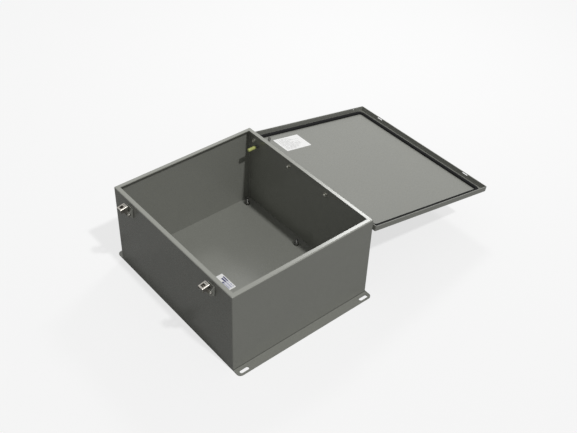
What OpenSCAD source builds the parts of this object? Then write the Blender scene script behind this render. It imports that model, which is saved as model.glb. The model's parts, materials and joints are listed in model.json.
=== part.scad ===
// Wall-mounted sheet-steel enclosure with a hinged cover, lying on its back with the cover swung open.
// The origin is the middle of the back's outer face, +Z runs out of the opening, and +X points from
// the latch wall to the hinge wall. The mounting flanges stand out past the two walls across Y.

/* [Box] */
// Outside width, from the latch wall to the hinge wall
box_w = 355.6; // [250:0.1:600]
// Outside length, between the two walls that carry the mounting flanges
box_l = 406.4; // [360:0.1:800]
// Outside depth, from the back to the top of the lip
box_h = 203.2; // [120:0.1:400]
// Thickness of the sheet of the box and the cover
sheet_t = 1.9; // [1.2:0.1:2.2]
// Outside radius of the folds and of the corners that are welded and ground
fold_r = 2.4; // [2.3:0.1:5]
// Width of the lip that is turned in round the opening
lip_w = 9.5; // [6:0.1:14]

/* [Mounting flanges] */
// How far each flange stands out past its wall
flange_w = 21; // [18:0.1:40]
// Radius of the outer corners of the flanges
flange_corner_r = 9; // [3:0.1:16]
// Width of a mounting slot
slot_w = 8; // [5:0.1:11]
// Length of a mounting slot, end to end
slot_len = 22; // [14:0.1:40]
// From the flange's outer edge to the middle of a slot
slot_edge = 8.3; // [7:0.1:10]
// From the end of the flange to the middle of a slot
slot_inset = 18.3; // [16:0.1:40]

/* [Panel studs] */
// Diameter of a stud's collar
collar_d = 10; // [8:0.1:14]
// Height of a stud's collar above the back sheet
collar_h = 7; // [3:0.1:12]
// Diameter of a stud's threaded end
stud_d = 6; // [4:0.1:7]
// Length of a stud's threaded end above the collar
stud_len = 9; // [5:0.1:20]
// From the latch wall or the hinge wall to the studs
stud_inset_x = 22.8; // [15:0.1:60]
// From a flanged wall to the end studs
stud_inset_y = 21.2; // [15:0.1:60]

/* [Ground studs] */
// Diameter of the ground studs
ground_d = 6; // [4:0.1:8]
// Length of the body's ground stud
ground_len = 26; // [12:0.1:35]
// Outside diameter of the sleeve on the body's ground stud
sleeve_d = 8; // [7:0.1:12]
// Wall of the sleeve at its closed end
sleeve_end = 1.4; // [0.8:0.1:3]
// Bare length of the body's ground stud at its weld
ground_bare = 7; // [2:0.1:8]
// From the flanged wall to the body's ground stud
ground_inset = 32; // [20:0.1:50]
// From the top of the lip down to the body's ground stud
ground_drop = 34; // [34:0.1:60]
// Length of the cover's ground stud
cover_stud_len = 8; // [8:0.1:16]
// From the cover's hinge edge to its ground stud
cover_stud_x = 33.7; // [28:0.1:60]
// From the cover's end to its ground stud
cover_stud_y = 28.8; // [24:0.1:60]

/* [Cover] */
// Depth of the cover's turned-down edge, from its outer face
cover_depth = 13.2; // [12:0.1:20]
// From the lip up to the cover's sheet when it is shut, which the gasket fills
cover_rise = 5; // [3:0.1:8]
// Room between the cover's edge and the flanged walls
cover_gap = 1.4; // [0.8:0.1:4]
// Room between the cover's edge and the hinge wall
cover_hinge_gap = 0.9; // [0.6:0.1:1.5]
// Room between the cover's edge and the latch wall
cover_latch_gap = 5.8; // [4:0.1:8]
// Diameter of the hanging hole in the cover's edge
hang_d = 4; // [2:0.1:5]
// From the cover's latch edge to the hanging hole
hang_inset = 33; // [15:0.1:80]

/* [Gasket] */
// Width of the gasket's bead
gasket_w = 10; // [6:0.1:12]
// How far the gasket reaches in past the lip
gasket_over = 3; // [1:0.1:6]
// Room between the shut gasket and the lip
gasket_clear = 0.3; // [0.2:0.1:0.6]
// Inside corner radius of the gasket
gasket_corner_r = 4; // [2:0.1:12]

/* [Hinge] */
// Radius of the hinge knuckles
knuckle_r = 4; // [3.6:0.1:5]
// Number of knuckles, which is odd
knuckle_count = 15; // [7:2:21]
// Room between the knuckles and the hinge wall
knuckle_wall_gap = 1.25; // [1:0.01:2]
// Gap between neighbouring knuckles
knuckle_gap = 0.4; // [0.3:0.1:1]
// Radius of the hinge pin
hinge_pin_r = 2.4; // [1.5:0.1:2.6]
// Thickness of the hinge leaves
leaf_t = 1.5; // [1.2:0.1:2]
// From the end of the wall to the end of the hinge
hinge_inset = 12.7; // [8:0.1:30]
// From the top of the lip down to the pin
pin_drop = 12.7; // [12.5:0.1:16]
// From the top of the lip down to the lower edge of the body leaf
leaf_drop = 34; // [33:0.1:45]
// How far the cover leaf laps up the cover's edge
leaf_lap = 6.8; // [4:0.1:8]
// Gap left between the cover leaf and the screw heads where the open cover comes to rest
stop_gap = 0.42; // [0.3:0.01:0.6]

/* [Hinge screws] */
// Diameter of the hinge screws
screw_d = 4; // [3:0.1:5]
// From the top of the lip down to the screws
screw_drop = 25; // [24:0.1:27]
// From the flanged walls to the end screws
screw_inset = 19.4; // [16:0.1:40]
// Diameter of the screws' heads
head_d = 8.5; // [7:0.1:9]
// Height of the screws' heads
head_h = 1.7; // [1.2:0.1:1.9]
// Number of hinge screws
screw_count = 4; // [2:1:8]
// Size of the nuts across their corners
nut_d = 8; // [7:0.1:11]
// Thickness of the nuts
nut_t = 3.2; // [2:0.1:6]
// Outside diameter of the washers
washer_d = 9; // [8:0.1:14]
// Thickness of the washers
washer_t = 0.8; // [0.5:0.1:2]

/* [Latches] */
// From the flanged walls to the middle of each latch
latch_inset = 61.9; // [30:0.1:120]
// Width of a latch bracket
bracket_w = 20; // [18.6:0.1:30]
// Thickness of a latch bracket
bracket_t = 1.9; // [1.2:0.1:2.4]
// From the top of the lip down to the bracket's upper edge
bracket_top = 12.5; // [11:0.1:16]
// Height of the bracket
bracket_h = 23.5; // [21:0.1:30]
// Radius of the nose of the bracket's ears
ear_r = 5; // [4:0.1:7]
// From the wall out to the latch pin
pivot_out = 9.4; // [9:0.1:11]
// From the top of the lip down to the latch pin
pivot_drop = 24.1; // [22:0.1:25]
// Radius of the latch pin
pivot_r = 2; // [1.5:0.1:2.5]
// Width of a latch lever
lever_w = 15; // [12:0.1:15.2]
// Thickness of a latch lever's sheet
lever_t = 1.2; // [0.8:0.1:1.5]
// Outside radius of the lever's folds
lever_fold_r = 1.8; // [1.6:0.1:2.4]
// Length of the lever's top, from its tip to its outer end
lever_len = 17; // [17:0.1:24]
// Tilt of the lever's top when it is swung out
lever_tilt = 10.6; // [5:0.1:15]
// Length of the lever's tongue, which enters the cover
tongue_len = 5.5; // [5:0.1:7]
// From the wall out to the tip of the tongue
tip_out = 10.2; // [10:0.1:11]
// From the top of the lip down to the tip of the tongue
tip_drop = 2.8; // [2:0.1:3.5]
// Angle that the lever swings in to hold the cover
latch_swing = 16; // [15:0.1:17]
// Side of the square window in the lever
window_w = 8; // [5:0.1:9]
// Height of the lever's sides
lever_side = 9.5; // [7:0.1:10]
// Depth of the lip at the lever's outer end
finger_h = 2.5; // [2:0.1:6]
// Height of the slot in the cover's edge that takes the tongue
catch_h = 3; // [2.8:0.1:3.4]

/* [Hidden] */
$fn = 64;

// Overrun of cuts, and the clearances of running and seated fits
overrun = 1;
running_clear = 0.05;
seat_clear = 0.02;
hole_clear = 0.2;

paint = "#6d6e69";
stainless = "#c4c1ba";
zinc = "#a9aaa8";
foam = "#1a1a1b";
sleeve_green = "#b9c25a";

// Places of the cover when it is shut
cover_hinge_x = box_w / 2 + cover_hinge_gap + sheet_t;
cover_latch_x = -(box_w / 2 + cover_latch_gap + sheet_t);
cover_w = cover_hinge_x - cover_latch_x;
cover_l = box_l + 2 * (cover_gap + sheet_t);
cover_mid_x = (cover_hinge_x + cover_latch_x) / 2;
cover_top = box_h + cover_rise + sheet_t;
cover_edge = cover_top - cover_depth;
gasket_t = cover_rise - gasket_clear;
latch_y = box_l / 2 - latch_inset;

// Shoulders of the gasket's bead
shoulder_share = 0.8;
bead_share = 0.4;
shoulder_r = min(gasket_t * shoulder_share, gasket_w * bead_share);

// Place of the hinge pin
pin_x = box_w / 2 + knuckle_wall_gap + knuckle_r;
pin_z = box_h - pin_drop;
pin_bore_r = hinge_pin_r + running_clear;
hinge_len = box_l - 2 * hinge_inset;
knuckle_pitch = hinge_len / knuckle_count;
knuckle_len = knuckle_pitch - knuckle_gap;
leaf_clear_r = knuckle_r + knuckle_gap;
pin_end = 1.2;

// Angle at which the free edge of the cover leaf comes to rest on the screw heads
lap_x = cover_hinge_x + leaf_t - pin_x;
lap_z = cover_edge + leaf_lap - pin_z;
rest_reach = pin_x - box_w / 2 - leaf_t - head_h - stop_gap;
cover_open = 180 + asin(rest_reach / norm([lap_x, lap_z])) - atan2(lap_x, lap_z);

// Rounded edge of the screw heads
head_ease_share = 0.4;
head_ease = head_h * head_ease_share;
screw_z = box_h - screw_drop;
screw_run = box_l - 2 * screw_inset;
screw_tip = 1.5;
screw_back = sheet_t + washer_t + nut_t + screw_tip;

// Where the tongue of a latch stands when the lever is swung in
tip_in_z = box_h - pivot_drop
    + (tip_out - pivot_out) * sin(latch_swing)
    + (pivot_drop - tip_drop) * cos(latch_swing);
seat_gap = 0.7;
catch_l = lever_w + 2 * seat_gap;

// Small sizes of the latch
boss_r = 4.5;
heel_low = 6;
heel_high = 1.5;
leg_w = 6;
pry_w = 9;
pry_h = 1.2;
bar_w = 1.6;
window_start = lever_len - window_w - (lever_w - window_w) / 2;
pin_head_r = 3.4;
pin_head_h = 1.2;
channel_h = 2 * pivot_drop;
channel_back = pivot_drop;

// A rectangle with round ends, centred, with its length along X
module obround(length, width) {
    square([length - width, width], center = true);
    for (side = [-1, 1])
        translate([side * (length - width) / 2, 0])
            circle(d = width);
}

// A rectangle with rounded corners, centred
module rounded_rect(width, length, radius) {
    square([width - 2 * radius, length], center = true);
    square([width, length - 2 * radius], center = true);
    for (side_x = [-1, 1], side_y = [-1, 1])
        translate([side_x * (width / 2 - radius), side_y * (length / 2 - radius)])
            circle(r = radius);
}

// The quadrant below and right of the origin, with the corner at the origin rounded
module rounded_quadrant(reach, drop, radius) {
    translate([radius, -drop])
        square([reach - radius, drop]);
    translate([0, -drop])
        square([reach, drop - radius]);
    translate([radius, -radius])
        circle(r = radius);
}

// Section of a sheet folded over from a wall: X runs inwards from the wall's outer face, Y runs up
module folded_section(drop) {
    intersection() {
        translate([0, -drop])
            square([fold_r, drop]);
        difference() {
            rounded_quadrant(2 * fold_r, 2 * drop, fold_r);
            translate([sheet_t, -sheet_t])
                rounded_quadrant(2 * fold_r, 2 * drop, fold_r - sheet_t);
        }
    }
}

// Runs a flat section round a rectangle with round corners. The section's X runs inwards from the outside.
module swept_frame(width, length, corner_r) {
    for (turn = [0:3]) {
        half = (turn % 2 == 0 ? width : length) / 2;
        run = (turn % 2 == 0 ? length : width) - 2 * corner_r;
        rotate([0, 0, 90 * turn]) {
            translate([-half, 0, 0])
                rotate([90, 0, 0])
                    linear_extrude(height = run, center = true)
                        children();
            translate([corner_r - half, run / 2, 0])
                rotate([0, 0, 90])
                    rotate_extrude(angle = 90)
                        mirror([1, 0])
                            translate([-corner_r, 0])
                                children();
        }
    }
}

// Puts a piece that is drawn at the shut cover where the open cover carries it
module on_open_cover() {
    translate([pin_x, 0, pin_z])
        rotate([0, cover_open, 0])
            translate([-pin_x, 0, -pin_z])
                children();
}

module body_walls() {
    color(paint)
        difference() {
            union() {
                translate([0, 0, box_h])
                    swept_frame(box_w, box_l, fold_r)
                        folded_section(box_h - sheet_t);
                translate([0, 0, box_h - sheet_t])
                    linear_extrude(height = sheet_t)
                        difference() {
                            square([box_w - 2 * fold_r, box_l - 2 * fold_r], center = true);
                            square([box_w - 2 * lip_w, box_l - 2 * lip_w], center = true);
                        }
            }
            at_hinge_screws()
                cylinder(d = screw_d + 2 * hole_clear, h = 2 * (sheet_t + overrun), center = true);
        }
}

module back_panel() {
    slot_x = box_w / 2 - slot_inset;
    slot_y = box_l / 2 + flange_w - slot_edge;
    color(paint)
        linear_extrude(height = sheet_t)
            difference() {
                rounded_rect(box_w, box_l + 2 * flange_w, flange_corner_r);
                for (side_x = [-1, 1], side_y = [-1, 1])
                    translate([side_x * slot_x, side_y * slot_y])
                        obround(slot_len, slot_w);
            }
}

module panel_studs() {
    color(zinc)
        for (side_x = [-1, 1], row = [-1, 0, 1])
            translate([side_x * (box_w / 2 - stud_inset_x), row * (box_l / 2 - stud_inset_y), sheet_t]) {
                cylinder(d = collar_d, h = collar_h);
                translate([0, 0, collar_h])
                    cylinder(d = stud_d, h = stud_len);
            }
}

// The body's ground stud stands on the inside of the hinge wall and points across the box
module at_ground_stud() {
    translate([box_w / 2 - sheet_t, box_l / 2 - ground_inset, box_h - ground_drop])
        rotate([0, -90, 0])
            children();
}

module ground_stud() {
    color(zinc)
        at_ground_stud()
            cylinder(d = ground_d, h = ground_len);
}

module ground_stud_sleeve() {
    sleeve_len = ground_len - ground_bare + sleeve_end;
    bore_r = ground_d / 2 + running_clear;
    color(sleeve_green)
        at_ground_stud()
            translate([0, 0, ground_bare])
                rotate_extrude()
                    difference() {
                        union() {
                            square([sleeve_d / 2, sleeve_len - sleeve_end]);
                            square([sleeve_d / 2 - sleeve_end, sleeve_len]);
                            translate([sleeve_d / 2 - sleeve_end, sleeve_len - sleeve_end])
                                circle(r = sleeve_end);
                        }
                        translate([0, -overrun])
                            square([bore_r, sleeve_len - sleeve_end + overrun + running_clear]);
                    }
}

module cover() {
    catch_z = tip_in_z;
    color(paint)
        on_open_cover()
            difference() {
                translate([cover_mid_x, 0, cover_top]) {
                    swept_frame(cover_w, cover_l, fold_r)
                        folded_section(cover_depth);
                    translate([0, 0, -sheet_t / 2])
                        cube([cover_w - 2 * fold_r, cover_l - 2 * fold_r, sheet_t], center = true);
                }
                for (side = [-1, 1])
                    translate([cover_latch_x - overrun, side * latch_y, catch_z])
                        rotate([90, 0, 90])
                            linear_extrude(height = sheet_t + 2 * overrun)
                                obround(catch_l, catch_h);
                translate([cover_latch_x + hang_inset, cover_l / 2 + overrun, (cover_edge + box_h) / 2])
                    rotate([90, 0, 0])
                        cylinder(d = hang_d, h = sheet_t + 2 * overrun);
            }
}

// Section of the gasket's bead, hanging from the cover's sheet
module bead_section() {
    translate([0, shoulder_r - gasket_t])
        square([gasket_w, gasket_t - shoulder_r]);
    translate([shoulder_r, -gasket_t])
        square([gasket_w - 2 * shoulder_r, gasket_t]);
    for (across = [shoulder_r, gasket_w - shoulder_r])
        translate([across, shoulder_r - gasket_t])
            circle(r = shoulder_r);
}

module cover_gasket() {
    inset = lip_w + gasket_over - gasket_w;
    color(foam)
        on_open_cover()
            translate([0, 0, box_h + cover_rise])
                swept_frame(box_w - 2 * inset, box_l - 2 * inset, gasket_corner_r + gasket_w)
                    intersection() {
                        bead_section();
                        translate([0, -gasket_t])
                            square([gasket_w, gasket_t]);
                    }
}

module cover_ground_stud() {
    color(zinc)
        on_open_cover()
            translate([cover_hinge_x - cover_stud_x, cover_l / 2 - cover_stud_y, cover_top - sheet_t])
                mirror([0, 0, 1])
                    cylinder(d = ground_d, h = cover_stud_len);
}

// Every second knuckle along the pin, from the first one given
module at_knuckles(first) {
    for (place = [first:2:knuckle_count - 1])
        translate([pin_x, (place + 1 / 2) * knuckle_pitch - hinge_len / 2, pin_z])
            children();
}

module knuckle_barrel() {
    rotate([90, 0, 0])
        cylinder(r = knuckle_r, h = knuckle_len, center = true);
}

// A strip of leaf, as long as a knuckle, from one corner to the other in X and Z
module knuckle_strap(low_x, high_x, low_z, high_z) {
    translate([low_x, -knuckle_len / 2, low_z])
        cube([high_x - low_x, knuckle_len, high_z - low_z]);
}

module pin_bore() {
    translate([pin_x, 0, pin_z])
        rotate([90, 0, 0])
            cylinder(r = pin_bore_r, h = hinge_len + 2 * overrun, center = true);
}

// The hinge screws sit in a row along the hinge wall, with their heads outside
module at_hinge_screws() {
    for (place = [0:screw_count - 1])
        translate([box_w / 2, place * screw_run / (screw_count - 1) - screw_run / 2, screw_z])
            rotate([0, 90, 0])
                children();
}

module hinge_body_leaf() {
    wall_x = box_w / 2 - pin_x;
    bend_z = leaf_t - knuckle_r;
    color(paint)
        difference() {
            union() {
                translate([box_w / 2, -hinge_len / 2, box_h - leaf_drop])
                    cube([leaf_t, hinge_len, leaf_drop - pin_drop - leaf_clear_r]);
                at_knuckles(0) {
                    knuckle_barrel();
                    knuckle_strap(wall_x, wall_x + leaf_t, -leaf_clear_r - leaf_t, bend_z);
                    knuckle_strap(wall_x, 0, -knuckle_r, bend_z);
                }
            }
            pin_bore();
            at_hinge_screws()
                cylinder(d = screw_d + 2 * hole_clear, h = 2 * (leaf_t + overrun), center = true);
        }
}

module hinge_cover_leaf() {
    leaf_x = cover_hinge_x - pin_x;
    color(paint)
        on_open_cover()
            difference() {
                union() {
                    translate([cover_hinge_x, -hinge_len / 2, pin_z + leaf_clear_r])
                        cube([leaf_t, hinge_len, lap_z - leaf_clear_r]);
                    at_knuckles(1) {
                        knuckle_barrel();
                        knuckle_strap(leaf_x, leaf_x + leaf_t, pin_bore_r, leaf_clear_r + leaf_t);
                    }
                }
                pin_bore();
            }
}

module hinge_pin() {
    color(stainless)
        translate([pin_x, 0, pin_z])
            rotate([90, 0, 0])
                cylinder(r = hinge_pin_r, h = hinge_len + 2 * pin_end, center = true);
}

module hinge_screws() {
    color(zinc)
        at_hinge_screws() {
            translate([0, 0, -screw_back])
                cylinder(d = screw_d, h = screw_back + leaf_t);
            translate([0, 0, leaf_t])
                cylinder(d = head_d, h = head_h - head_ease);
            translate([0, 0, leaf_t + head_h - head_ease])
                cylinder(r1 = head_d / 2, r2 = head_d / 2 - head_ease, h = head_ease);
        }
}

module hinge_washers() {
    color(zinc)
        at_hinge_screws()
            translate([0, 0, -sheet_t - washer_t])
                difference() {
                    cylinder(d = washer_d, h = washer_t);
                    translate([0, 0, -overrun])
                        cylinder(d = screw_d + 2 * hole_clear, h = washer_t + 2 * overrun);
                }
}

module hinge_nuts() {
    color(zinc)
        at_hinge_screws()
            translate([0, 0, -sheet_t - washer_t - nut_t])
                difference() {
                    cylinder(d = nut_d, h = nut_t, $fn = 6);
                    translate([0, 0, -overrun])
                        cylinder(r = screw_d / 2 + running_clear, h = nut_t + 2 * overrun);
                }
}

// A latch is drawn with X running out from the latch wall and Z up from the top of the lip
module at_latch(side) {
    translate([-box_w / 2, side * latch_y, box_h])
        mirror([1, 0, 0])
            children();
}

// A flat outline in the latch's X and Z, given thickness across the latch
module across_latch(thickness, middle) {
    translate([0, middle, 0])
        rotate([90, 0, 0])
            linear_extrude(height = thickness, center = true)
                children();
}

module latch_bracket(side) {
    low = -bracket_top - bracket_h;
    color(paint)
        at_latch(side) {
            translate([0, -bracket_w / 2, low])
                cube([bracket_t, bracket_w, bracket_h]);
            for (ear = [-1, 1])
                across_latch(bracket_t, ear * (bracket_w - bracket_t) / 2)
                    difference() {
                        union() {
                            polygon([
                                [bracket_t, low], [bracket_t, -bracket_top],
                                [pivot_out, ear_r - pivot_drop], [pivot_out, -ear_r - pivot_drop],
                            ]);
                            translate([pivot_out, -pivot_drop])
                                circle(r = ear_r);
                        }
                        translate([pivot_out, -pivot_drop])
                            circle(r = pivot_r + seat_clear);
                    }
        }
}

// Side view of a lever at rest: its top, its sides, its legs down to the pin, and the heel that stops it
module lever_outline() {
    heel_x = bracket_t + stop_gap;
    translate([tip_out, -tip_drop])
        rotate(-lever_tilt) {
            translate([0, -lever_t / 2])
                square([lever_len, lever_t]);
            translate([tongue_len, lever_t / 2 - lever_side])
                square([lever_len - tongue_len, lever_side]);
        }
    polygon([
        lever_point(tongue_len, 0), lever_point(tongue_len + leg_w, lever_side - lever_t),
        [pivot_out + boss_r, -pivot_drop], [pivot_out, -pivot_drop - boss_r],
        [heel_x, -pivot_drop - heel_low], [heel_x, -pivot_drop - heel_high],
        [pivot_out - boss_r, -pivot_drop],
    ]);
    translate([pivot_out, -pivot_drop])
        circle(r = boss_r);
}

// A point on the lever's side, at a distance from the tip of its top and a depth below it
function lever_point(along, depth) = [
    tip_out + along * cos(lever_tilt) - depth * sin(lever_tilt),
    -tip_drop - along * sin(lever_tilt) - depth * cos(lever_tilt),
];

// Places what is drawn along the lever's top, with its tip at zero
module at_lever_top() {
    translate([tip_out, 0, -tip_drop])
        rotate([0, lever_tilt, 0])
            children();
}

// The lever's sheet folded into a channel, open below
module lever_channel() {
    at_lever_top()
        translate([-channel_back, 0, lever_t / 2])
            rotate([90, 0, 90])
                linear_extrude(height = channel_back + lever_len)
                    difference() {
                        channel_section(lever_w, lever_fold_r);
                        translate([0, -lever_t])
                            channel_section(lever_w - 2 * lever_t, lever_fold_r - lever_t);
                    }
}

module channel_section(width, radius) {
    for (side = [0, 1])
        mirror([side, 0])
            translate([-width / 2, 0])
                rounded_quadrant(width / 2, channel_h, radius);
}

module latch_lever(side) {
    color(stainless)
        at_latch(side)
            difference() {
                union() {
                    intersection() {
                        lever_channel();
                        across_latch(lever_w + 2 * overrun, 0)
                            lever_outline();
                    }
                    at_lever_top()
                        translate([lever_len - lever_t, lever_fold_r - lever_w / 2, lever_t / 2 - finger_h])
                            cube([lever_t, lever_w - 2 * lever_fold_r, finger_h]);
                }
                at_lever_top() {
                    translate([window_start, -window_w / 2, -lever_t])
                        cube([window_w, window_w, 2 * lever_t]);
                    translate([bar_w, -pry_w / 2, -lever_t])
                        cube([pry_h, pry_w, 2 * lever_t]);
                }
                across_latch(lever_w + 2 * overrun, 0)
                    translate([pivot_out, -pivot_drop])
                        circle(r = pivot_r + running_clear);
            }
}

module latch_pin(side) {
    half = bracket_w / 2 + seat_clear;
    color(stainless)
        at_latch(side)
            translate([pivot_out, 0, -pivot_drop])
                rotate([90, 0, 0]) {
                    cylinder(r = pivot_r, h = 2 * half, center = true);
                    for (end = [0, 1])
                        mirror([0, 0, end])
                            translate([0, 0, half])
                                cylinder(r1 = pin_head_r, r2 = pivot_r, h = pin_head_h);
                }
}

body_walls();
back_panel();
panel_studs();
ground_stud();
ground_stud_sleeve();
cover();
cover_gasket();
cover_ground_stud();
hinge_body_leaf();
hinge_cover_leaf();
hinge_pin();
hinge_screws();
hinge_washers();
hinge_nuts();
latch_bracket(1);  // latch_bracket_1
latch_bracket(-1);  // latch_bracket_2
latch_lever(1);  // latch_lever_1
latch_lever(-1);  // latch_lever_2
latch_pin(1);  // latch_pin_1
latch_pin(-1);  // latch_pin_2
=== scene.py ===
import json
import math

import bpy
from bpy.props import FloatProperty, FloatVectorProperty, PointerProperty
from mathutils import Matrix, Vector


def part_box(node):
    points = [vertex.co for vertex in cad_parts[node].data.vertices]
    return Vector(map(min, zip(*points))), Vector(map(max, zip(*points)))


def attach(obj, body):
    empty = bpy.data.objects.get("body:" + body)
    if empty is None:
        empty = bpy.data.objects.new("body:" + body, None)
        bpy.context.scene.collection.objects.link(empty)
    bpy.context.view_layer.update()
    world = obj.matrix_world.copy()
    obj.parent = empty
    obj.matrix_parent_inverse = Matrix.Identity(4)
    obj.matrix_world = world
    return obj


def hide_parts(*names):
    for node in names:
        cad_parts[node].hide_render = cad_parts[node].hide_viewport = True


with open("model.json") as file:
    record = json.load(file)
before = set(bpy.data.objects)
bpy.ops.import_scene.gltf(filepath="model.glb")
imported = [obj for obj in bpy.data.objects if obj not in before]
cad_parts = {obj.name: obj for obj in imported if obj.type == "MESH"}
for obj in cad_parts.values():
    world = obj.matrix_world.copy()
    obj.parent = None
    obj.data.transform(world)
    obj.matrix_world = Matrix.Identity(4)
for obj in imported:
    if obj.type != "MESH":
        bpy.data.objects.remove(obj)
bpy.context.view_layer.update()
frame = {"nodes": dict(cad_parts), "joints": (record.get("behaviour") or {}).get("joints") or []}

bl_info = {
    "name": "Wall Enclosure Looks",
    "version": (1, 0, 0),
    "blender": (4, 5, 0),
    "location": "3D View > Sidebar > Enclosure",
    "description": "Paint, hardware, labels and studio for a hinged sheet-steel wall enclosure",
    "category": "Object",
}

MM = 0.001
WALLS_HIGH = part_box("body_walls")[1]
FLOOR_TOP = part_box("back_panel")[1].z
LIP_TOP = WALLS_HIGH.z

# The cover turns on this joint, and rests at the far end of its swing from shut
COVER_JOINT = next(joint for joint in frame["joints"] if joint["name"] == "cover_hinge")
HINGE_POINT = Vector(COVER_JOINT["pos_m"])
COVER_OPEN = math.radians(COVER_JOINT["range_deg"][1])
# How the shut cover stands: its sheet, its gap to the walls, and the room for the gasket
SHEET = 1.9 * MM
COVER_GAP = 0.9 * MM
COVER_RISE = 5.0 * MM
COVER_INNER = LIP_TOP + COVER_RISE
COVER_HINGE_EDGE = WALLS_HIGH.x + COVER_GAP + SHEET

PAINTED_NODES = (
    "body_walls", "back_panel", "cover", "hinge_body_leaf", "hinge_cover_leaf",
    "latch_bracket_1", "latch_bracket_2",
)
STAINLESS_NODES = ("latch_lever_1", "latch_lever_2", "latch_pin_1", "latch_pin_2", "hinge_pin")
ZINC_NODES = ("hinge_washers",)

# The hinge's fasteners
SCREW_COUNT = 4
SCREW_RADIUS = 2.0 * MM

# How many sides a thin, a middling and a wide round form has
THIN_ROUND, ROUND, WIDE_ROUND = 24, 32, 48
LABEL_CORNER_STEPS = 6
SMOOTH_BELOW = math.radians(35)
# Edges shorter than this are what a cut leaves behind, and are closed
SLIVER = 0.002 * MM

# The value that a noise swings about
NOISE_MIDDLE = 0.5
WHITE = (1.0, 1.0, 1.0, 1.0)

# The stage's floor: its side, how far it lies below the box, its colour and how far it glows white
FLOOR_SIDE = 40.0
FLOOR_DROP = 0.3 * MM
FLOOR_PALE = (0.9, 0.9, 0.9, 1.0)
FLOOR_GLOW = 0.7
# The camera's sensor, in the lens's millimetres, and the depths that it sees
SENSOR_WIDTH = 36.0
NEAREST, FARTHEST = 0.05, 50.0


class Value:
    """An output socket; Python's operators on it add Math nodes."""

    def __init__(self, nodes, socket):
        self.nodes = nodes
        self.socket = socket

    def _math(self, operation, *values):
        return self.nodes.node("ShaderNodeMath", {"operation": operation}, dict(enumerate(values)))

    def __add__(self, other):
        return self._math("ADD", self, other)

    def __radd__(self, other):
        return self._math("ADD", other, self)

    def __sub__(self, other):
        return self._math("SUBTRACT", self, other)

    def __rsub__(self, other):
        return self._math("SUBTRACT", other, self)

    def __mul__(self, other):
        return self._math("MULTIPLY", self, other)

    def __rmul__(self, other):
        return self._math("MULTIPLY", other, self)

    def __truediv__(self, other):
        return self._math("DIVIDE", self, other)

    def __rtruediv__(self, other):
        return self._math("DIVIDE", other, self)

    def __lt__(self, other):
        return self._math("LESS_THAN", self, other)

    def __gt__(self, other):
        return self._math("GREATER_THAN", self, other)

    def __abs__(self):
        return self._math("ABSOLUTE", self)

    def floor(self):
        return self._math("FLOOR", self)

    def fraction(self):
        return self._math("FRACT", self)

    def at_least(self, other):
        return self._math("MAXIMUM", self, other)

    def around(self, swing):
        """A noise brought to swing about zero."""
        return (self - NOISE_MIDDLE) * swing


class Nodes:
    """Builds one node tree from nothing."""

    def __init__(self, tree):
        self.tree = tree
        tree.nodes.clear()

    def node(self, kind, settings=None, inputs=None, output=0):
        """Adds a node, sets it up, feeds its sockets and returns one of its outputs."""
        made = self.tree.nodes.new(kind)
        for key, value in (settings or {}).items():
            setattr(made, key, value)
        for key, value in (inputs or {}).items():
            if isinstance(value, Value):
                self.tree.links.new(value.socket, made.inputs[key])
            else:
                made.inputs[key].default_value = value
        return Value(self, made.outputs[output]) if made.outputs else None

    def mix(self, factor, first, second):
        """Mixes two colours. The node has sockets of the same names for numbers, so these go by index."""
        return self.node(
            "ShaderNodeMix", {"data_type": "RGBA"}, {0: factor, 6: first, 7: second}, output=2)

    def place(self):
        """The point on the piece, in metres."""
        return self.node("ShaderNodeTexCoord", output="Object")

    def split(self, point):
        """The three coordinates of a point."""
        first = self.node("ShaderNodeSeparateXYZ", None, {0: point})
        return [Value(self, socket) for socket in first.socket.node.outputs]

    def noise(self, place, scale, detail):
        """Soft random values, with about scale of them to a metre."""
        return self.node(
            "ShaderNodeTexNoise", None, {"Vector": place, "Scale": scale, "Detail": detail})

    def stretched(self, place, scale):
        """The point with each axis scaled by itself."""
        return self.node("ShaderNodeMapping", None, {"Vector": place, "Scale": scale})

    def bump(self, height, distance, strength=1.0):
        """A normal that leans as a surface of this height would."""
        return self.node(
            "ShaderNodeBump", None, {"Height": height, "Distance": distance, "Strength": strength})

    def finish(self, **sockets):
        """Ends a material with one principled surface."""
        inputs = {name.replace("_", " ").title(): value for name, value in sockets.items()}
        inputs = {name.replace("Ior", "IOR"): value for name, value in inputs.items()}
        surface = self.node("ShaderNodeBsdfPrincipled", None, inputs)
        self.node("ShaderNodeOutputMaterial", None, {"Surface": surface})


def new_material(name):
    """An empty material and the builder of its nodes."""
    material = bpy.data.materials.new(name)
    material.use_nodes = True
    return material, Nodes(material.node_tree)


def tone(color, share):
    """A colour made lighter or darker, with full alpha."""
    return (color[0] * share, color[1] * share, color[2] * share, 1.0)


def dress(node_names, material):
    """Gives CAD nodes a material."""
    for name in node_names:
        slots = frame["nodes"][name].data.materials
        slots.clear()
        slots.append(material)


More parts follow.
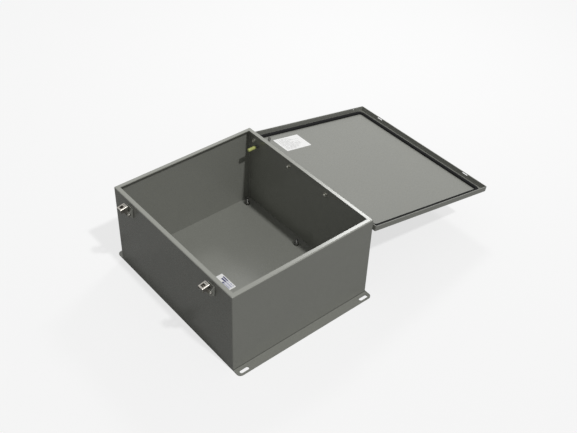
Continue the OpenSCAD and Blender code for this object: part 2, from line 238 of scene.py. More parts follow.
def powder_coat(look):
    """Semi-gloss grey powder coat with orange peel, a lip painted paler as a painted highlight, and lines
    at mitres and seams; the seam line is a dark joint with painted shade in it.
    """
    material, nodes = new_material("grey_powder_coat")
    place = nodes.place()
    x, y, z = nodes.split(place)
    clouds = nodes.noise(place, scale=7.0, detail=3.0)
    peel = nodes.noise(place, scale=620.0, detail=2.0)
    grit = nodes.noise(place, scale=2400.0, detail=1.0)

    darkest, palest, grit_swing = 0.965, 1.035, 0.5
    color = nodes.mix(clouds, tone(look.paint_color, darkest), tone(look.paint_color, palest))
    color = nodes.mix(grit.around(grit_swing) + NOISE_MIDDLE, color, tone(look.paint_color, 1.0))
    # The lip is painted paler all along: a painted highlight for the light that the rim catches.
    on_lip = (z > LIP_TOP - SHEET) * (z < LIP_TOP + SHEET / 2) * (abs(x) < WALLS_HIGH.x + SHEET / 2)
    color = nodes.mix(on_lip, color, tone(look.paint_color, look.lip_painted_highlight))
    # The line where the walls stand on the back is painted darker: a dark joint, with painted shade of the
    # crease in it.
    foot_joint_and_shade = abs(abs(y) - WALLS_HIGH.y).at_least(abs(z - FLOOR_TOP)) < look.seam_width / 2
    color = nodes.mix(foot_joint_and_shade, color, tone(look.paint_color, look.seam_joint_and_shade))

    # The mitre runs where the lip's two outer edges are equally far off
    mitre = abs((WALLS_HIGH.x - abs(x)) - (WALLS_HIGH.y - abs(y))) < look.mitre_width / 2
    mitre = mitre * (z > LIP_TOP - SHEET / 2) * (abs(y) < WALLS_HIGH.y)
    peel_share, grit_share, mitre_drop = 0.7, 0.3, 2.0
    height = peel * peel_share + grit * grit_share - mitre * mitre_drop

    peel_gloss, cloud_gloss = 0.10, 0.06
    nodes.finish(
        base_color=color,
        roughness=look.paint_roughness + peel.around(peel_gloss) + clouds.around(cloud_gloss),
        normal=nodes.bump(height, look.peel_depth),
        specular_ior_level=0.5,
    )
    return material


def stainless_sheet(look):
    """Plain stainless sheet with a fine drawn grain."""
    material, nodes = new_material("stainless_sheet")
    place = nodes.place()
    along_grain, across_grain = 260.0, 4200.0
    stretched = nodes.stretched(place, (along_grain, across_grain, along_grain))
    grain = nodes.noise(stretched, scale=1.0, detail=3.0)
    smudge = nodes.noise(place, scale=160.0, detail=2.0)
    darkest, palest = 0.93, 1.05
    grain_gloss, smudge_gloss, grain_depth = 0.16, 0.10, 0.012 * MM
    nodes.finish(
        base_color=nodes.mix(
            smudge, tone(look.stainless_color, darkest), tone(look.stainless_color, palest)),
        metallic=1.0,
        roughness=look.stainless_roughness + grain.around(grain_gloss) + smudge.around(smudge_gloss),
        normal=nodes.bump(grain, grain_depth),
    )
    return material


def zinc_plate(name, look, color):
    """Zinc plate with a faint warm cast."""
    material, nodes = new_material(name)
    place = nodes.place()
    cast = nodes.noise(place, scale=240.0, detail=2.0)
    frost = nodes.noise(place, scale=1900.0, detail=2.0)
    warm_shares = (1.06, 1.02, 0.88)
    warm = (*(channel * share for channel, share in zip(color, warm_shares)), 1.0)
    frost_gloss, frost_depth = 0.18, 0.015 * MM
    nodes.finish(
        base_color=nodes.mix(cast, tone(color, 1.0), warm),
        metallic=1.0,
        roughness=look.zinc_roughness + frost.around(frost_gloss),
        normal=nodes.bump(frost, frost_depth),
    )
    return material


def gasket_foam(look):
    """Black closed-cell foam with small open pores."""
    material, nodes = new_material("gasket_foam")
    place = nodes.place()
    pores = nodes.node(
        "ShaderNodeTexVoronoi", {"feature": "F1"}, {"Vector": place, "Scale": 900.0}, output="Distance")
    cloud = nodes.noise(place, scale=60.0, detail=3.0)
    darkest, palest = 0.8, 1.25
    matt, cloud_gloss, pore_depth, pore_strength = 0.86, 0.12, 0.25 * MM, 0.6
    nodes.finish(
        base_color=nodes.mix(cloud, tone(look.foam_color, darkest), tone(look.foam_color, palest)),
        roughness=matt + cloud.around(cloud_gloss),
        normal=nodes.bump(pores, pore_depth, pore_strength),
        specular_ior_level=0.15,
    )
    return material


def soft_plastic(look):
    """Yellow-green vinyl of the stud's sleeve."""
    material, nodes = new_material("sleeve_vinyl")
    place = nodes.place()
    cloud = nodes.noise(place, scale=180.0, detail=2.0)
    darkest, palest = 0.9, 1.08
    satin, cloud_gloss, cloud_depth = 0.36, 0.12, 0.02 * MM
    nodes.finish(
        base_color=nodes.mix(cloud, tone(look.sleeve_color, darkest), tone(look.sleeve_color, palest)),
        roughness=satin + cloud.around(cloud_gloss),
        normal=nodes.bump(cloud, cloud_depth),
    )
    return material


def printed_paper(name, look, carry, size, row_pitch, boldness, ink, far_ink):
    """Label stock with rows of generic bars for print; carry takes a flat label to its place."""
    material, nodes = new_material(name)
    place = nodes.place()
    length, width = size
    flat = nodes.node(
        "ShaderNodeMapping", {"vector_type": "TEXTURE"},
        {"Vector": place, "Location": carry.to_translation(), "Rotation": carry.to_euler()})
    along, across, _ = nodes.split(flat)

    # Bars stand in rows, broken by a noise that is another one in each row
    row = (across / row_pitch).floor()
    in_row = (across / row_pitch).fraction() < boldness
    words_to_metre, row_step = 330.0, 7.3
    word_place = nodes.node(
        "ShaderNodeCombineXYZ", None, {0: along * words_to_metre, 1: row * row_step, 2: 0.0})
    words = nodes.noise(word_place, scale=1.0, detail=0.0) < boldness

    # The rows keep clear of the edges, and each ends at a place of its own
    printed_share, longest_share, ragged_share = 0.42, 0.36, 0.45
    row_end = nodes.node("ShaderNodeTexWhiteNoise", {"noise_dimensions": "1D"}, {"W": row})
    in_width = abs(along) < length * printed_share
    in_width = in_width * (along < length * longest_share - row_end * (length * ragged_share))
    in_height = abs(across) < width * printed_share
    print_mask = in_row * words * in_width * in_height

    fibre = nodes.noise(place, scale=420.0, detail=3.0)
    darkest, palest = 0.97, 1.02
    matt, fibre_gloss, fibre_depth = 0.5, 0.1, 0.01 * MM
    paper = nodes.mix(fibre, tone(look.label_color, darkest), tone(look.label_color, palest))
    nodes.finish(
        base_color=nodes.mix(print_mask, paper, nodes.mix(along > 0.0, ink, far_ink)),
        roughness=matt + fibre.around(fibre_gloss),
        normal=nodes.bump(fibre, fibre_depth),
    )
    return material


def deselect():
    """Leaves edit mode, with nothing selected."""
    if bpy.context.object and bpy.context.object.mode != "OBJECT":
        bpy.ops.object.mode_set(mode="OBJECT")
    bpy.ops.object.select_all(action="DESELECT")


def settle(piece, name, matrix, body, material):
    """Names a finished piece, bakes its place into its mesh and hands it to the body that carries it."""
    piece.name = piece.data.name = name
    deselect()
    piece.matrix_world = matrix @ piece.matrix_world
    piece.select_set(True)
    bpy.context.view_layer.objects.active = piece
    bpy.ops.object.transform_apply(location=True, rotation=True, scale=True)
    bpy.ops.object.shade_smooth_by_angle(angle=SMOOTH_BELOW)
    piece.data.materials.clear()
    piece.data.materials.append(material)
    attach(piece, body)


def select_edges(piece, wanted):
    """Enters edit mode with the edges selected whose two ends satisfy the test."""
    bpy.ops.object.mode_set(mode="EDIT")
    bpy.ops.mesh.select_mode(type="EDGE")
    bpy.ops.mesh.select_all(action="DESELECT")
    bpy.ops.object.mode_set(mode="OBJECT")
    points = piece.data.vertices
    for edge in piece.data.edges:
        edge.select = wanted(*(points[index].co for index in edge.vertices))
    bpy.ops.object.mode_set(mode="EDIT")


def label_plate(size, thickness, corner):
    """A thin plate with rounded corners, its back at zero and its face up."""
    deselect()
    bpy.ops.mesh.primitive_cube_add(size=1.0, location=(0.0, 0.0, thickness / 2))
    plate = bpy.context.object
    plate.dimensions = (size[0], size[1], thickness)
    bpy.ops.object.transform_apply(location=False, rotation=False, scale=True)
    select_edges(plate, lambda a, b: abs(a.z - b.z) > thickness / 2)
    bpy.ops.mesh.bevel(offset=corner, segments=LABEL_CORNER_STEPS, affect="EDGES")
    bpy.ops.object.mode_set(mode="OBJECT")
    return plate


def turned(profile, sides):
    """A piece turned round Z: a ring is extruded up through each (radius, height) of the profile."""
    deselect()
    radius, height = profile[0]
    bpy.ops.mesh.primitive_circle_add(
        vertices=sides, radius=radius, fill_type="NGON", location=(0.0, 0.0, height))
    piece = bpy.context.object
    bpy.ops.object.transform_apply(location=True, rotation=False, scale=False)
    bpy.ops.object.mode_set(mode="EDIT")
    bpy.ops.mesh.select_mode(type="FACE")
    bpy.ops.mesh.select_all(action="SELECT")
    for next_radius, next_height in profile[1:]:
        bpy.ops.mesh.extrude_region_move(
            TRANSFORM_OT_translate={"value": (0.0, 0.0, next_height - height)})
        share = next_radius / radius
        bpy.ops.transform.resize(value=(share, share, 1.0), center_override=(0.0, 0.0, next_height))
        radius, height = next_radius, next_height
    bpy.ops.mesh.select_all(action="SELECT")
    bpy.ops.mesh.normals_make_consistent(inside=False)
    bpy.ops.object.mode_set(mode="OBJECT")
    return piece


def threaded_profile(radius, start, end, pitch, depth):
    """Ridges and roots of a thread between two heights, with a chamfered tip."""
    root = radius - depth
    crest_starts, crest_ends = pitch * 0.4, pitch * 0.6
    profile = []
    height = start
    while height + pitch < end - depth:
        profile += [(root, height), (radius, height + crest_starts), (radius, height + crest_ends)]
        height += pitch
    return profile + [(root, height), (root, end - depth), (root - depth, end)]


def cut(piece, other, operation):
    """Cuts a piece with another one, which is used up."""
    deselect()
    modifier = piece.modifiers.new("cut", "BOOLEAN")
    modifier.operation = operation
    modifier.solver = "EXACT"
    modifier.object = other
    piece.select_set(True)
    bpy.context.view_layer.objects.active = piece
    bpy.ops.object.modifier_apply(modifier=modifier.name)
    bpy.data.objects.remove(other)
    bpy.ops.object.mode_set(mode="EDIT")
    bpy.ops.mesh.select_all(action="SELECT")
    bpy.ops.mesh.dissolve_degenerate(threshold=SLIVER)
    bpy.ops.object.mode_set(mode="OBJECT")


def copies_of(piece, places):
    """One joined object with a copy of the piece at each place."""
    made = []
    for place in places:
        copy = piece.copy()
        copy.data = piece.data.copy()
        copy.matrix_world = place
        bpy.context.collection.objects.link(copy)
        made.append(copy)
    bpy.data.objects.remove(piece)
    deselect()
    for copy in made:
        copy.select_set(True)
    bpy.context.view_layer.objects.active = made[0]
    bpy.ops.object.transform_apply(location=True, rotation=True, scale=True)
    bpy.ops.object.join()
    return bpy.context.object


def open_cover():
    """Carries a piece from the shut cover to the open one, where the part rests."""
    to_pin = Matrix.Translation(HINGE_POINT)
    return to_pin @ Matrix.Rotation(COVER_OPEN, 4, "Y") @ to_pin.inverted()


class EnclosureLook(bpy.types.PropertyGroup):
    """Colours and finishes."""

    paint_color: FloatVectorProperty(
        name="Paint", description="Powder coat of the sheet metal", subtype="COLOR",
        default=(0.252, 0.256, 0.230), min=0.0, max=1.0)
    paint_roughness: FloatProperty(
        name="Paint Roughness", description="Roughness of the powder coat", subtype="FACTOR",
        default=0.27, min=0.0, max=1.0)
    peel_depth: FloatProperty(
        name="Orange Peel", description="Depth of the powder coat's texture", subtype="DISTANCE",
        default=0.025 * MM, min=0.0, max=1.0 * MM)
    mitre_width: FloatProperty(
        name="Mitre Line", description="Width of the weld line at the lip's corners",
        subtype="DISTANCE", default=0.7 * MM, min=0.0, max=3.0 * MM)
    # The lip's paler paint is a painted highlight for the light that the rim catches, not rubbing by the
    # gasket.
    lip_painted_highlight: FloatProperty(
        name="Lip Painted Highlight", description="How much paler the lip's paint is, where the gasket rubs it",
        default=1.34, min=1.0, max=2.0)
    # The seam line is a dark joint, with painted shade of the crease where the walls meet the back.
    seam_width: FloatProperty(
        name="Seam Line", description="Width of the line where the walls stand on the back",
        subtype="DISTANCE", default=1.8 * MM, min=0.0, max=5.0 * MM)
    seam_joint_and_shade: FloatProperty(
        name="Seam Shade", description="Share of the paint's tone left in the line at the walls' foot",
        subtype="FACTOR", default=0.4, min=0.0, max=1.0)
    stainless_color: FloatVectorProperty(
        name="Stainless", description="Sheet of the latch levers", subtype="COLOR",
        default=(0.42, 0.40, 0.365), min=0.0, max=1.0)
    stainless_roughness: FloatProperty(
        name="Stainless Roughness", description="Roughness of the stainless sheet", subtype="FACTOR",
        default=0.36, min=0.0, max=1.0)
    zinc_color: FloatVectorProperty(
        name="Zinc", description="Plate of screws, washers and nuts", subtype="COLOR",
        default=(0.62, 0.63, 0.62), min=0.0, max=1.0)
    # The studs' plate is darkened as painted shade and painted reflection: they sit in shade and mirror
    # dark surroundings.
    stud_shaded_color: FloatVectorProperty(
        name="Studs", description="Dull plate of the welded studs", subtype="COLOR",
        default=(0.13, 0.132, 0.132), min=0.0, max=1.0)
    zinc_roughness: FloatProperty(
        name="Zinc Roughness", description="Roughness of the zinc plate", subtype="FACTOR",
        default=0.36, min=0.0, max=1.0)
    foam_color: FloatVectorProperty(
        name="Foam", description="Gasket foam", subtype="COLOR",
        default=(0.010, 0.010, 0.0105), min=0.0, max=1.0)
    sleeve_color: FloatVectorProperty(
        name="Sleeve", description="Vinyl sleeve on the ground stud", subtype="COLOR",
        default=(0.56, 0.60, 0.20), min=0.0, max=1.0)
    label_color: FloatVectorProperty(
        name="Label", description="Label stock", subtype="COLOR",
        default=(0.90, 0.90, 0.89), min=0.0, max=1.0)
    cover_ink_tone: FloatProperty(
        name="Cover Ink", description="Tone of the cover label's bars beside its stock", subtype="FACTOR",
        default=0.66, min=0.0, max=1.0)
    cover_boldness: FloatProperty(
        name="Cover Boldness", description="How full the cover label's rows of bars are", subtype="FACTOR",
        default=0.56, min=0.0, max=1.0)
    floor_ink: FloatVectorProperty(
        name="Floor Ink", description="Pale bars of the floor label", subtype="COLOR",
        default=(0.50, 0.51, 0.62), min=0.0, max=1.0)
    floor_far_ink: FloatVectorProperty(
        name="Floor Far Ink", description="Dark bars on the far half of the floor label", subtype="COLOR",
        default=(0.055, 0.060, 0.16), min=0.0, max=1.0)
    floor_boldness: FloatProperty(
        name="Floor Boldness", description="How full the floor label's rows of bars are", subtype="FACTOR",
        default=0.72, min=0.0, max=1.0)


class EnclosureSizes(bpy.types.PropertyGroup):
    """Sizes of the pieces that are added to the solids."""

    label_thickness: FloatProperty(
        name="Label Thickness", description="Thickness of the labels", subtype="DISTANCE", unit="LENGTH",
        default=0.12 * MM, min=0.05 * MM, max=1.0 * MM)
    label_corner: FloatProperty(
        name="Label Corner", description="Corner radius of the labels", subtype="DISTANCE", unit="LENGTH",
        default=1.5 * MM, min=0.1 * MM, max=5.0 * MM)
    cover_label: FloatVectorProperty(
        name="Cover Label", description="Length and width of the label in the cover", size=2,
        subtype="XYZ", unit="LENGTH", default=(74.0 * MM, 52.5 * MM))
    cover_label_at: FloatVectorProperty(
        name="Cover Label Place", size=2, subtype="XYZ", unit="LENGTH",
        description="From the hinge edge, and from the middle, to the label's centre",
        default=(77.5 * MM, 146.3 * MM))
    cover_row_pitch: FloatProperty(
        name="Cover Rows", description="Pitch of the rows of bars on the cover label",
        subtype="DISTANCE", unit="LENGTH", default=2.6 * MM, min=1.0 * MM, max=10.0 * MM)
    floor_label: FloatVectorProperty(
        name="Floor Label", description="Width and length of the label on the floor", size=2,
        subtype="XYZ", unit="LENGTH", default=(25.0 * MM, 51.0 * MM))
    floor_label_at: FloatVectorProperty(
        name="Floor Label Place", description="Centre of the label on the floor", size=2,
        subtype="XYZ", unit="LENGTH", default=(-46.5 * MM, 2.3 * MM))
    floor_row_pitch: FloatProperty(
        name="Floor Rows", description="Pitch of the rows of bars on the floor label",
        subtype="DISTANCE", unit="LENGTH", default=5.6 * MM, min=1.0 * MM, max=10.0 * MM)
    thread_pitch: FloatProperty(
        name="Thread Pitch", description="Pitch of the studs' threads", subtype="DISTANCE", unit="LENGTH",
        default=1.0 * MM, min=0.5 * MM, max=2.0 * MM)
    thread_depth: FloatProperty(
        name="Thread Depth", description="Depth of the studs' threads", subtype="DISTANCE", unit="LENGTH",
        default=0.45 * MM, min=0.1 * MM, max=1.0 * MM)


class EnclosureStudio(bpy.types.PropertyGroup):
    """Light and camera of the stage."""

    key_strength: FloatProperty(
        name="Key", description="Strength of the key light", default=1.62, min=0.0, max=10.0)
    key_direction: FloatVectorProperty(
        name="Key Direction", description="Direction that the key light comes from", subtype="DIRECTION",
        default=(0.07, -0.63, 1.0))
    key_spread: FloatProperty(
        name="Key Spread", description="How wide the key light looks, which softens its shadows",
        subtype="ANGLE", default=math.radians(3.0), min=0.0, max=math.pi)
    rim_power: FloatProperty(
        name="Rim", description="Power of the softbox behind, which brightens the edges", subtype="POWER",
        default=6.6, min=0.0, max=500.0)
    rim_size: FloatVectorProperty(
        name="Rim Size", description="Width and height of the softbox behind", size=2,
        subtype="XYZ", unit="LENGTH", default=(0.34, 0.20))
    rim_place: FloatVectorProperty(
        name="Rim Place", description="Where the softbox behind hangs",
        subtype="TRANSLATION", unit="LENGTH", default=(1.113, 0.68, 1.325))
    rim_aim: FloatVectorProperty(
        name="Rim Aim", description="What the softbox behind points at",
        subtype="TRANSLATION", unit="LENGTH", default=(0.1, 0.0, 0.15))
    ambient: FloatProperty(
        name="Ambient", description="Strength of the even light from all round", subtype="FACTOR",
        default=0.28, min=0.0, max=1.0)
    floor_bounce: FloatProperty(
        name="Floor Bounce", description="Share of light that the floor throws back at the object",
        subtype="FACTOR", default=0.3, min=0.0, max=1.0)
    camera_place: FloatVectorProperty(
        name="Camera", description="Where the camera stands", subtype="TRANSLATION", unit="LENGTH",
        default=(-0.8468, -1.1143, 1.3635))
    camera_azimuth: FloatProperty(
        name="Azimuth", description="Direction of the camera round the object", subtype="ANGLE",
        default=math.radians(-41.1696))
    camera_elevation: FloatProperty(
        name="Elevation", description="Height of the camera above the horizon", subtype="ANGLE",
        default=math.radians(40.4764))
    camera_roll: FloatProperty(
        name="Roll", description="Turn of the camera about its line of sight", subtype="ANGLE",
        default=math.radians(2.31))
    camera_lens: FloatProperty(
        name="Lens", description="Focal length of the camera", subtype="DISTANCE_CAMERA", unit="CAMERA",
        default=55.58, min=10.0, max=200.0)


class ENCLOSURE_OT_sheet_metal(bpy.types.Operator):
    """Gives every painted sheet of the box, cover, hinge and brackets its powder coat"""

    bl_idname = "enclosure.sheet_metal"
    bl_label = "Paint Sheet Metal"

    def execute(self, context):
        dress(PAINTED_NODES, powder_coat(context.scene.enclosure_look))
        return {"FINISHED"}


class ENCLOSURE_OT_hardware(bpy.types.Operator):
    """Finishes the latch levers, the pins and the washers"""

    bl_idname = "enclosure.hardware"
    bl_label = "Finish Hardware"

    def execute(self, context):
        look = context.scene.enclosure_look
        dress(STAINLESS_NODES, stainless_sheet(look))
        dress(ZINC_NODES, zinc_plate("zinc_washers", look, look.zinc_color))
        return {"FINISHED"}


class ENCLOSURE_OT_seals(bpy.types.Operator):
    """Finishes the cover's gasket and the ground stud's sleeve"""

    bl_idname = "enclosure.seals"
    bl_label = "Finish Gasket and Sleeve"

    def execute(self, context):
        look = context.scene.enclosure_look
        dress(("cover_gasket",), gasket_foam(look))
        dress(("ground_stud_sleeve",), soft_plastic(look))
        return {"FINISHED"}


class ENCLOSURE_OT_cover_label(bpy.types.Operator):
    """Sticks the label to the inside of the cover"""

    bl_idname = "enclosure.cover_label"
    bl_label = "Cover Label"

    def execute(self, context):
        look, sizes = context.scene.enclosure_look, context.scene.enclosure_sizes
        from_edge, from_middle = sizes.cover_label_at
        centre = Vector((COVER_HINGE_EDGE - from_edge, from_middle, COVER_INNER))
        # The plate is made face up and turned over, because the shut cover's inside looks down
        carry = open_cover() @ Matrix.Translation(centre) @ Matrix.Rotation(math.pi, 4, "Y")
        ink = tone(look.label_color, look.cover_ink_tone)
        paper = printed_paper(
            "cover_label_stock", look, carry, sizes.cover_label, sizes.cover_row_pitch,
            look.cover_boldness, ink, ink)
        plate = label_plate(sizes.cover_label, sizes.label_thickness, sizes.label_corner)
        settle(plate, "cover_label", carry, "cover_body", paper)
        return {"FINISHED"}


class ENCLOSURE_OT_floor_label(bpy.types.Operator):
    """Sticks the label to the inside of the back"""

    bl_idname = "enclosure.floor_label"
    bl_label = "Floor Label"

    def execute(self, context):
        look, sizes = context.scene.enclosure_look, context.scene.enclosure_sizes
        centre = (*sizes.floor_label_at, FLOOR_TOP)
        carry = Matrix.Translation(centre) @ Matrix.Rotation(math.pi / 2, 4, "Z")
        long_first = (sizes.floor_label[1], sizes.floor_label[0])
        paper = printed_paper(
            "floor_label_stock", look, carry, long_first, sizes.floor_row_pitch,
            look.floor_boldness, tone(look.floor_ink, 1.0), tone(look.floor_far_ink, 1.0))
        plate = label_plate(long_first, sizes.label_thickness, sizes.label_corner)
        settle(plate, "floor_label", carry, "enclosure", paper)
        return {"FINISHED"}


class ENCLOSURE_OT_panel_studs(bpy.types.Operator):
    """Models the collar studs with their threads, in place of the plain solids"""

    bl_idname = "enclosure.panel_studs"
    bl_label = "Panel Studs"

    def execute(self, context):
        look, sizes = context.scene.enclosure_look, context.scene.enclosure_sizes
        low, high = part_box("panel_studs")
        collar, collar_height, thread = 5.0 * MM, 7.0 * MM, 3.0 * MM
        ease, neck = 0.5 * MM, 0.1 * MM
        profile = [(collar, 0.0), (collar, collar_height - ease), (collar - ease, collar_height)]
        profile += threaded_profile(
            thread, collar_height + neck, high.z - low.z, sizes.thread_pitch, sizes.thread_depth)
        stud = turned(profile, ROUND)
        columns = (low.x + collar, high.x - collar)
        rows = (low.y + collar, (low.y + high.y) / 2, high.y - collar)
        places = [Matrix.Translation((x, y, low.z)) for x in columns for y in rows]
        studs = copies_of(stud, places)
        # The studs' darker plate is painted shade and painted reflection of their dark surroundings.
        shaded_stud_plate = zinc_plate("shaded_panel_studs", look, look.stud_shaded_color)
        settle(studs, "threaded_panel_studs", Matrix(), "enclosure", shaded_stud_plate)
        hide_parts("panel_studs")
        return {"FINISHED"}


class ENCLOSURE_OT_ground_studs(bpy.types.Operator):
    """Models the ground studs of the box and the cover with their threads"""

    bl_idname = "enclosure.ground_studs"
    bl_label = "Ground Studs"

    def execute(self, context):
        look, sizes = context.scene.enclosure_look, context.scene.enclosure_sizes
        # The studs' darker plate is painted shade and painted reflection of their dark surroundings.
        shaded_stud_plate = zinc_plate("shaded_ground_studs", look, look.stud_shaded_color)
        low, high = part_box("ground_stud")
        radius = (high.z - low.z) / 2
        base = Vector((high.x, (low.y + high.y) / 2, (low.z + high.z) / 2))
        stud = self.stud(sizes, radius, high.x - low.x)
        into_box = Matrix.Translation(base) @ Matrix.Rotation(-math.pi / 2, 4, "Y")
        settle(stud, "threaded_ground_stud", into_box, "enclosure", shaded_stud_plate)
        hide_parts("ground_stud")

        from_edge, length = 33.7 * MM, 8.0 * MM
        low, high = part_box("cover_ground_stud")
        foot_joint_and_shade = Vector((COVER_HINGE_EDGE - from_edge, (low.y + high.y) / 2, COVER_INNER))
        cover_stud = self.stud(sizes, radius, length)
        out_of_cover = open_cover() @ Matrix.Translation(foot_joint_and_shade) @ Matrix.Rotation(math.pi, 4, "Y")
        settle(cover_stud, "threaded_cover_stud", out_of_cover, "cover_body", shaded_stud_plate)
        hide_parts("cover_ground_stud")
        return {"FINISHED"}

    def stud(self, sizes, radius, length):
        """A threaded stud with a plain foot where it is welded, its foot at zero."""
        weld = 0.6 * MM
        profile = [(radius, 0.0), (radius, weld)]
        profile += threaded_profile(radius, weld, length, sizes.thread_pitch, sizes.thread_depth)
        return turned(profile, THIN_ROUND)


class ENCLOSURE_OT_hinge_fasteners(bpy.types.Operator):
    """Models the hinge's recessed screws and chamfered nuts, in place of the plain solids"""

    bl_idname = "enclosure.hinge_fasteners"
    bl_label = "Hinge Fasteners"

    def execute(self, context):
        look, sizes = context.scene.enclosure_look, context.scene.enclosure_sizes
        zinc = zinc_plate("zinc_fasteners", look, look.zinc_color)
        low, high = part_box("hinge_screws")
        head = (high.z - low.z) / 2
        middle = (low.z + high.z) / 2
        first, last = low.y + head, high.y - head
        rows = [first + (last - first) * index / (SCREW_COUNT - 1) for index in range(SCREW_COUNT)]
        # Local Z runs into the box, and local X up
        inwards = Matrix.Rotation(-math.pi / 2, 4, "Y")
        screws = copies_of(
            self.screw(sizes, head, high.x - low.x),
            [Matrix.Translation((high.x, y, middle)) @ inwards for y in rows])
        settle(screws, "recessed_hinge_screws", Matrix(), "enclosure", zinc)
        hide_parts("hinge_screws")

        low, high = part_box("hinge_nuts")
        corner_up = Matrix.Rotation(math.pi / 2, 4, "Z")
        nuts = copies_of(
            self.nut((high.z - low.z) / 2, high.x - low.x),
            [Matrix.Translation((high.x, y, middle)) @ inwards @ corner_up for y in rows])
        settle(nuts, "chamfered_hinge_nuts", Matrix(), "enclosure", zinc)
        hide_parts("hinge_nuts")
        return {"FINISHED"}

    def screw(self, sizes, head, length):
        """A pan-head screw with a cross recess, its face at zero and its tip up."""
        head_height, ease, dome = 1.7 * MM, 0.68 * MM, 0.204 * MM
        fine_share = 0.7
        pitch, depth = sizes.thread_pitch * fine_share, sizes.thread_depth * fine_share
        profile = [(head - ease, 0.0), (head - dome, dome), (head, ease), (head, head_height)]
        profile += threaded_profile(SCREW_RADIUS, head_height + depth / 2, length, pitch, depth)
        screw = turned(profile, ROUND)
        # Length, width and height of the bars that cut the recess; half the height stands clear
        bar = (head * 1.05, head * 0.24, head_height * 1.1)
        for turn in (0.0, math.pi / 2):
            deselect()
            bpy.ops.mesh.primitive_cube_add(size=1.0, rotation=(0.0, 0.0, turn))
            slot = bpy.context.object
            slot.scale = bar
            bpy.ops.object.transform_apply(location=False, rotation=True, scale=True)
            cut(screw, slot, "DIFFERENCE")
        return screw

    def nut(self, corner, thickness):
        """A hexagon nut with chamfered corners and a bore, its seat at zero."""
        deselect()
        bpy.ops.mesh.primitive_cylinder_add(
            vertices=6, radius=corner, depth=thickness, location=(0.0, 0.0, thickness / 2))
        nut = bpy.context.object
        bpy.ops.object.transform_apply(location=True, rotation=False, scale=False)
        # The cones of the chamfers run on past the nut, so no face of the cutter lies on one of the nut
        chamfer, rise = corner * 0.1, corner * 0.06
        round_form = turned([
            (corner - 2 * chamfer, -rise), (corner + chamfer, 2 * rise),
            (corner + chamfer, thickness - 2 * rise), (corner - 2 * chamfer, thickness + rise)], WIDE_ROUND)
        cut(nut, round_form, "INTERSECT")
        bore = turned([(SCREW_RADIUS, -thickness), (SCREW_RADIUS, 2 * thickness)], ROUND)
        cut(nut, bore, "DIFFERENCE")
        return nut


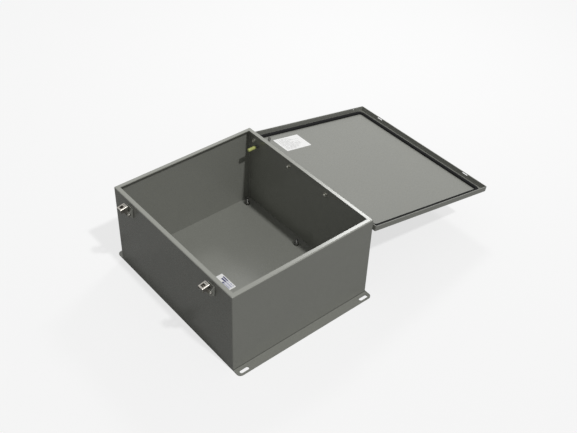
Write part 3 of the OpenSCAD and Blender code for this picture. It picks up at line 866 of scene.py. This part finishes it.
class ENCLOSURE_OT_stage(bpy.types.Operator):
    """Sets the floor, the lights, the surround and the camera"""

    bl_idname = "enclosure.stage"
    bl_label = "Studio Stage"

    def execute(self, context):
        studio = context.scene.enclosure_studio
        context.scene.view_settings.view_transform = "Standard"
        self.floor(studio)
        self.lights(context, studio)
        self.surround(context, studio)
        self.camera(context, studio)
        return {"FINISHED"}

    def floor(self, studio):
        """A pale floor, which shows nearly white and keeps the object's shadow."""
        deselect()
        bpy.ops.mesh.primitive_plane_add(size=FLOOR_SIDE, location=(0.0, 0.0, -FLOOR_DROP))
        floor = bpy.context.object
        floor.name = "floor"
        material, nodes = new_material("pale_floor")
        seen = nodes.node("ShaderNodeLightPath", output="Is Camera Ray")
        bounce = studio.floor_bounce
        color = nodes.mix(seen, (bounce, bounce, bounce, 1.0), FLOOR_PALE)
        diffuse = nodes.node("ShaderNodeBsdfDiffuse", None, {"Color": color})
        white = nodes.node("ShaderNodeEmission", None, {"Color": WHITE, "Strength": 1.0})
        surface = nodes.node("ShaderNodeMixShader", None, {0: seen * FLOOR_GLOW, 1: diffuse, 2: white})
        nodes.node("ShaderNodeOutputMaterial", None, {"Surface": surface})
        floor.data.materials.append(material)

    def lights(self, context, studio):
        """A key light from the front and a small softbox behind."""
        key = bpy.data.lights.new("key", "SUN")
        key.energy = studio.key_strength
        key.angle = studio.key_spread
        self.hang(context, key, Vector(), Vector(studio.key_direction))

        rim = bpy.data.lights.new("rim", "AREA")
        rim.shape = "RECTANGLE"
        rim.size, rim.size_y = studio.rim_size
        rim.energy = studio.rim_power
        place = Vector(studio.rim_place)
        self.hang(context, rim, place, place - Vector(studio.rim_aim))

    def hang(self, context, light, place, back):
        """Puts a light in its place, with its back this way."""
        lamp = bpy.data.objects.new(light.name, light)
        lamp.location = place
        lamp.rotation_euler = back.to_track_quat("Z", "Y").to_euler()
        context.collection.objects.link(lamp)

    def surround(self, context, studio):
        """A white surround for what is seen and mirrored, which lights the object less."""
        world = bpy.data.worlds.new("studio_surround")
        world.use_nodes = True
        nodes = Nodes(world.node_tree)
        camera_ray, glossy_ray, clear_ray = (
            nodes.node("ShaderNodeLightPath", output=ray)
            for ray in ("Is Camera Ray", "Is Glossy Ray", "Is Transmission Ray"))
        shown = camera_ray.at_least(glossy_ray).at_least(clear_ray)
        strength = shown * (1.0 - studio.ambient) + studio.ambient
        background = nodes.node(
            "ShaderNodeBackground", None, {"Color": WHITE, "Strength": strength})
        nodes.node("ShaderNodeOutputWorld", None, {"Surface": background})
        context.scene.world = world

    def camera(self, context, studio):
        """A camera at the photograph's place, angle and roll."""
        azimuth, elevation, roll = studio.camera_azimuth, studio.camera_elevation, studio.camera_roll
        back = Vector((
            math.sin(azimuth) * math.cos(elevation), -math.cos(azimuth) * math.cos(elevation),
            math.sin(elevation)))
        level = Vector((0.0, 0.0, 1.0)).cross(back).normalized()
        upright = back.cross(level)
        right = math.cos(roll) * level + math.sin(roll) * upright
        up = math.cos(roll) * upright - math.sin(roll) * level
        turn = Matrix((right, up, back)).transposed().to_4x4()
        data = bpy.data.cameras.new("photo_view")
        data.sensor_fit = "HORIZONTAL"
        data.sensor_width = SENSOR_WIDTH
        data.lens = studio.camera_lens
        data.clip_start, data.clip_end = NEAREST, FARTHEST
        camera = bpy.data.objects.new("photo_view", data)
        camera.matrix_world = Matrix.Translation(studio.camera_place) @ turn
        context.collection.objects.link(camera)
        context.scene.camera = camera


PIECE_OPERATORS = (
    ENCLOSURE_OT_sheet_metal,
    ENCLOSURE_OT_hardware,
    ENCLOSURE_OT_seals,
    ENCLOSURE_OT_cover_label,
    ENCLOSURE_OT_floor_label,
    ENCLOSURE_OT_panel_studs,
    ENCLOSURE_OT_ground_studs,
    ENCLOSURE_OT_hinge_fasteners,
    ENCLOSURE_OT_stage,
)


class ENCLOSURE_PT_panel(bpy.types.Panel):
    """Lists the steps that dress the enclosure"""

    bl_idname = "ENCLOSURE_PT_panel"
    bl_label = "Wall Enclosure"
    bl_space_type = "VIEW_3D"
    bl_region_type = "UI"
    bl_category = "Enclosure"

    def draw(self, context):
        for step in PIECE_OPERATORS:
            self.layout.operator(step.bl_idname)
        for group in ("enclosure_look", "enclosure_sizes", "enclosure_studio"):
            settings = getattr(context.scene, group)
            box = self.layout.box()
            for name in settings.__annotations__:
                box.prop(settings, name)


CLASSES = (EnclosureLook, EnclosureSizes, EnclosureStudio, *PIECE_OPERATORS, ENCLOSURE_PT_panel)


def register():
    for item in CLASSES:
        bpy.utils.register_class(item)
    bpy.types.Scene.enclosure_look = PointerProperty(type=EnclosureLook)
    bpy.types.Scene.enclosure_sizes = PointerProperty(type=EnclosureSizes)
    bpy.types.Scene.enclosure_studio = PointerProperty(type=EnclosureStudio)


def unregister():
    del bpy.types.Scene.enclosure_studio
    del bpy.types.Scene.enclosure_sizes
    del bpy.types.Scene.enclosure_look
    for item in reversed(CLASSES):
        bpy.utils.unregister_class(item)


def main():
    register()
    bpy.ops.enclosure.sheet_metal()
    bpy.ops.enclosure.hardware()
    bpy.ops.enclosure.seals()
    bpy.ops.enclosure.cover_label()
    bpy.ops.enclosure.floor_label()
    bpy.ops.enclosure.panel_studs()
    bpy.ops.enclosure.ground_studs()
    bpy.ops.enclosure.hinge_fasteners()
    bpy.ops.enclosure.stage()
    deselect()


if __name__ == "__main__":
    main()
